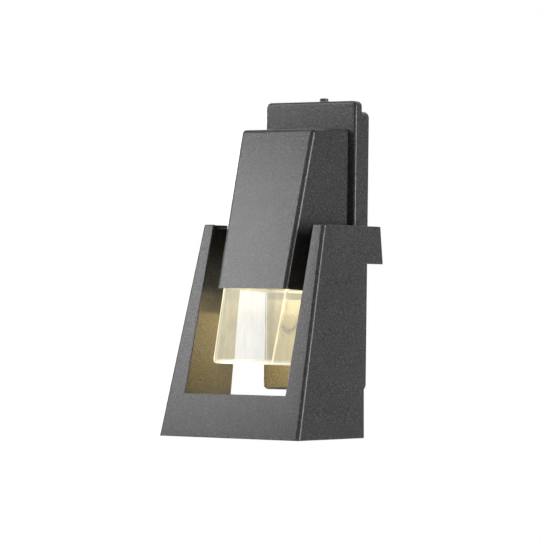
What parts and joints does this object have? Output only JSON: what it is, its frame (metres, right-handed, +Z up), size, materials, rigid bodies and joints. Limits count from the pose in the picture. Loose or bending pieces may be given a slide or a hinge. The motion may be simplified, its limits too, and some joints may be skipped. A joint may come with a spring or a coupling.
{
  "type": "outdoor wall light",
  "caption": "Outdoor wall light: a tapered hood over a clear glass shade, framed by a splayed open shroud, on a cover plate that hangs on a wall box and is locked by a top screw.",
  "frame": {"origin": "centre of the wall box's back face, midway between the two wall screw slots", "axes": "+Y into the wall, the front faces -Y, +Z up, +X to the right seen from the front"},
  "size_m": [0.1748, 0.175, 0.3523],
  "materials": {
    "coated_casting": "matte",
    "coated_sheet": "matte",
    "gasket_rubber": "matte",
    "clear_silicone": "satin",
    "zinc_steel": "satin",
    "dark_steel": "satin",
    "green_steel": "satin",
    "bare_aluminium": "satin",
    "white_board": "satin",
    "led_phosphor": "satin",
    "white_plastic": "satin",
    "clear_glass": "polished",
    "black_plastic": "matte",
    "red_insulation": "satin",
    "black_insulation": "satin",
    "orange_plastic": "satin"
  },
  "bodies": {
    "wall": {"wall_box": "coated_casting", "wall_gasket": "gasket_rubber", "cable_grommet": "gasket_rubber", "ground_screw": "green_steel", "hang_rail": "zinc_steel", "rail_screws": "zinc_steel"},
    "light": {"cover_plate": "coated_casting", "hood": "coated_casting", "shroud": "coated_sheet", "left_wing": "coated_sheet", "right_wing": "coated_sheet", "cover_gasket": "gasket_rubber", "hood_gasket": "gasket_rubber", "glass_gasket": "clear_silicone", "lead_bushing": "gasket_rubber", "hang_hooks": "zinc_steel", "hook_screws": "zinc_steel", "hood_screws": "zinc_steel", "tray_screws": "zinc_steel", "board_screws": "zinc_steel", "wing_screws": "zinc_steel", "driver_screws": "dark_steel", "led_tray": "bare_aluminium", "led_board": "white_board", "led_chip": "led_phosphor", "reflector": "white_plastic", "glass_shade": "clear_glass", "led_driver": "black_plastic", "led_leads": "red_insulation", "led_connector": "white_plastic", "supply_leads": "black_insulation", "wire_connectors": "orange_plastic"},
    "lock": {"lock_screw": "dark_steel"}
  },
  "joints": [
    {"name": "lift_off", "type": "slide", "parent": "wall", "child": "light", "axis": [0, 0, 1], "range_m": [0, 0.012]},
    {"name": "lock_screw_out", "type": "slide", "parent": "light", "child": "lock", "axis": [0, 0, 1], "range_m": [0, 0.01]}
  ]
}
